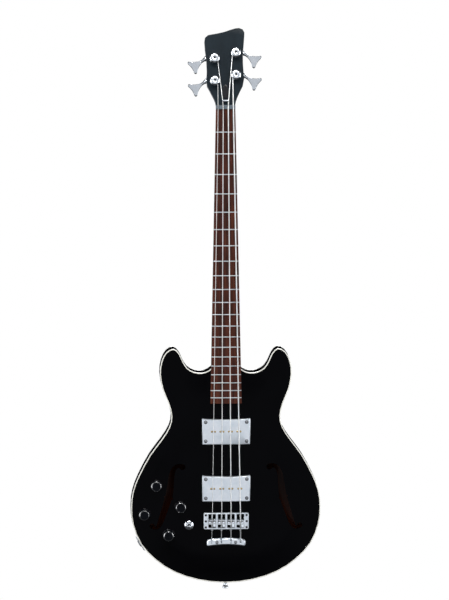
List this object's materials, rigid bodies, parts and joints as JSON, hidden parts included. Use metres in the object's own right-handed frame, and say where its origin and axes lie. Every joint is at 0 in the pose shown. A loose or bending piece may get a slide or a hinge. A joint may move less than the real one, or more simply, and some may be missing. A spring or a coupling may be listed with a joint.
{
  "type": "electric bass guitar",
  "caption": "Left-handed semi-hollow electric bass with a bound double-cutaway body, sound holes, an adjustable bridge, an angled head and enclosed tuners.",
  "frame": {"origin": "centre of the flat outer face of the strap button on the tail end, at the middle of the rim's depth", "axes": "+Z from the tail to the head, -Y out of the front, +X to the right of someone who looks at the front"},
  "size_m": [0.3964, 0.1007, 1.1784],
  "materials": {
    "black_lacquer": "polished black lacquer over maple",
    "bare_spruce": "unfinished wood",
    "cream_binding": "polished cream plastic",
    "rosewood": "oiled, open grain",
    "grey_composite": "smooth",
    "chrome": "polished plating",
    "steel": "plain",
    "nickel_wire": "round-wound wire",
    "black_plastic": "gloss",
    "copper_coil": "wound enamelled wire in wax"
  },
  "bodies": {
    "instrument": {"binding_back": "cream_binding", "binding_front": "cream_binding", "body_back": "black_lacquer", "body_rim": "black_lacquer", "body_top": "black_lacquer", "bridge_plate": "chrome", "centre_block": "bare_spruce", "fingerboard": "rosewood", "jack_plate": "chrome", "jack_socket": "steel", "neck": "black_lacquer", "nut": "grey_composite", "pickup_coil_bridge": "copper_coil", "pickup_coil_neck": "copper_coil", "pickup_cover_bridge": "chrome", "pickup_cover_neck": "chrome", "pot_lower_inner": "steel", "pot_lower_outer": "steel", "pot_upper_inner": "steel", "pot_upper_outer": "steel", "strap_button_end": "chrome", "strap_button_heel": "chrome", "string_a": "nickel_wire", "string_d": "nickel_wire", "string_e": "nickel_wire", "string_g": "nickel_wire", "string_retainer": "chrome", "switch_body": "chrome", "tailpiece": "chrome", "truss_rod": "steel", "truss_rod_cover": "black_plastic", "tuner_a_housing": "chrome", "tuner_d_housing": "chrome", "tuner_e_housing": "chrome", "tuner_g_housing": "chrome"},
    "tuner_g_key": {"tuner_g_key": "chrome"},
    "tuner_g_post": {"tuner_g_post": "chrome", "string_g_winding": "nickel_wire"},
    "saddle_screw_g": {"saddle_screw_g": "steel"},
    "saddle_g": {"saddle_g": "chrome"},
    "tuner_d_key": {"tuner_d_key": "chrome"},
    "tuner_d_post": {"tuner_d_post": "chrome", "string_d_winding": "nickel_wire"},
    "saddle_screw_d": {"saddle_screw_d": "steel"},
    "saddle_d": {"saddle_d": "chrome"},
    "tuner_a_key": {"tuner_a_key": "chrome"},
    "tuner_a_post": {"tuner_a_post": "chrome", "string_a_winding": "nickel_wire"},
    "saddle_screw_a": {"saddle_screw_a": "steel"},
    "saddle_a": {"saddle_a": "chrome"},
    "tuner_e_key": {"tuner_e_key": "chrome"},
    "tuner_e_post": {"tuner_e_post": "chrome", "string_e_winding": "nickel_wire"},
    "saddle_screw_e": {"saddle_screw_e": "steel"},
    "saddle_e": {"saddle_e": "chrome"},
    "knob_upper_outer": {"knob_upper_outer": "black_plastic"},
    "knob_lower_outer": {"knob_lower_outer": "black_plastic"},
    "knob_upper_inner": {"knob_upper_inner": "black_plastic"},
    "knob_lower_inner": {"knob_lower_inner": "black_plastic"},
    "switch_lever": {"switch_lever": "steel"}
  },
  "joints": [
    {"name": "tuner_g_key_turn", "type": "hinge", "parent": "instrument", "child": "tuner_g_key", "pos_m": [-0.02891, 0.02629, 1.07451], "axis": [-0.829, -0.1523, -0.5381], "continuous": true},
    {"name": "tuner_g_post_turn", "type": "hinge", "parent": "instrument", "child": "tuner_g_post", "pos_m": [-0.0222, 0.00213, 1.071], "axis": [0, -0.9622, 0.2723], "continuous": true},
    {"name": "tuner_d_key_turn", "type": "hinge", "parent": "instrument", "child": "tuner_d_key", "pos_m": [-0.02891, 0.03923, 1.12021], "axis": [-0.829, -0.1523, -0.5381], "continuous": true},
    {"name": "tuner_d_post_turn", "type": "hinge", "parent": "instrument", "child": "tuner_d_post", "pos_m": [-0.0222, 0.01506, 1.11671], "axis": [0, -0.9622, 0.2723], "continuous": true},
    {"name": "tuner_a_key_turn", "type": "hinge", "parent": "instrument", "child": "tuner_a_key", "pos_m": [0.02891, 0.0423, 1.13108], "axis": [0.829, -0.1523, -0.5381], "continuous": true},
    {"name": "tuner_a_post_turn", "type": "hinge", "parent": "instrument", "child": "tuner_a_post", "pos_m": [0.0222, 0.01814, 1.12758], "axis": [0, -0.9622, 0.2723], "continuous": true},
    {"name": "tuner_e_key_turn", "type": "hinge", "parent": "instrument", "child": "tuner_e_key", "pos_m": [0.02891, 0.02951, 1.08586], "axis": [0.829, -0.1523, -0.5381], "continuous": true},
    {"name": "tuner_e_post_turn", "type": "hinge", "parent": "instrument", "child": "tuner_e_post", "pos_m": [0.0222, 0.00534, 1.08236], "axis": [0, -0.9622, 0.2723], "continuous": true},
    {"name": "saddle_screw_g_turn", "type": "hinge", "parent": "instrument", "child": "saddle_screw_g", "pos_m": [-0.02955, -0.03594, 0.15149], "axis": [0, 0, 1], "range_deg": [-5400, 720]},
    {"name": "saddle_g_slide", "type": "slide", "parent": "instrument", "child": "saddle_g", "axis": [0, 0, 1], "range_m": [-0.001, 0.0075]},
    {"name": "saddle_screw_d_turn", "type": "hinge", "parent": "instrument", "child": "saddle_screw_d", "pos_m": [-0.00985, -0.03594, 0.15109], "axis": [0, 0, 1], "range_deg": [-5400, 720]},
    {"name": "saddle_d_slide", "type": "slide", "parent": "instrument", "child": "saddle_d", "axis": [0, 0, 1], "range_m": [-0.001, 0.0075]},
    {"name": "saddle_screw_a_turn", "type": "hinge", "parent": "instrument", "child": "saddle_screw_a", "pos_m": [0.00985, -0.03594, 0.15059], "axis": [0, 0, 1], "range_deg": [-5400, 720]},
    {"name": "saddle_a_slide", "type": "slide", "parent": "instrument", "child": "saddle_a", "axis": [0, 0, 1], "range_m": [-0.001, 0.0075]},
    {"name": "saddle_screw_e_turn", "type": "hinge", "parent": "instrument", "child": "saddle_screw_e", "pos_m": [0.02955, -0.03594, 0.15009], "axis": [0, 0, 1], "range_deg": [-5400, 720]},
    {"name": "saddle_e_slide", "type": "slide", "parent": "instrument", "child": "saddle_e", "axis": [0, 0, 1], "range_m": [-0.001, 0.0075]},
    {"name": "knob_upper_outer_turn", "type": "hinge", "parent": "instrument", "child": "knob_upper_outer", "pos_m": [-0.1448, -0.02543, 0.2211], "axis": [-0.1121, -0.9925, 0.048], "range_deg": [0, 300]},
    {"name": "knob_lower_outer_turn", "type": "hinge", "parent": "instrument", "child": "knob_lower_outer", "pos_m": [-0.1697, -0.02362, 0.1608], "axis": [-0.1225, -0.9925, -0.0038], "range_deg": [0, 300]},
    {"name": "knob_upper_inner_turn", "type": "hinge", "parent": "instrument", "child": "knob_upper_inner", "pos_m": [-0.0949, -0.0275, 0.177], "axis": [0, -1, 0], "range_deg": [0, 300]},
    {"name": "knob_lower_inner_turn", "type": "hinge", "parent": "instrument", "child": "knob_lower_inner", "pos_m": [-0.1199, -0.02704, 0.1177], "axis": [-0.0491, -0.9974, -0.0527], "range_deg": [0, 300]},
    {"name": "switch_lever_tilt", "type": "hinge", "parent": "instrument", "child": "switch_lever", "pos_m": [-0.0775, -0.0235, 0.138], "axis": [1, 0, 0], "range_deg": [-12, 12]}
  ],
  "couplings": [
    {"joint": "tuner_g_post_turn", "follows": "tuner_g_key_turn", "ratio": 0.05},
    {"joint": "tuner_d_post_turn", "follows": "tuner_d_key_turn", "ratio": 0.05},
    {"joint": "tuner_a_post_turn", "follows": "tuner_a_key_turn", "ratio": -0.05},
    {"joint": "tuner_e_post_turn", "follows": "tuner_e_key_turn", "ratio": -0.05},
    {"joint": "saddle_screw_g_turn", "follows": "saddle_g_slide", "rad_per_m": -12565},
    {"joint": "saddle_screw_d_turn", "follows": "saddle_d_slide", "rad_per_m": -12565},
    {"joint": "saddle_screw_a_turn", "follows": "saddle_a_slide", "rad_per_m": -12565},
    {"joint": "saddle_screw_e_turn", "follows": "saddle_e_slide", "rad_per_m": -12565}
  ]
}
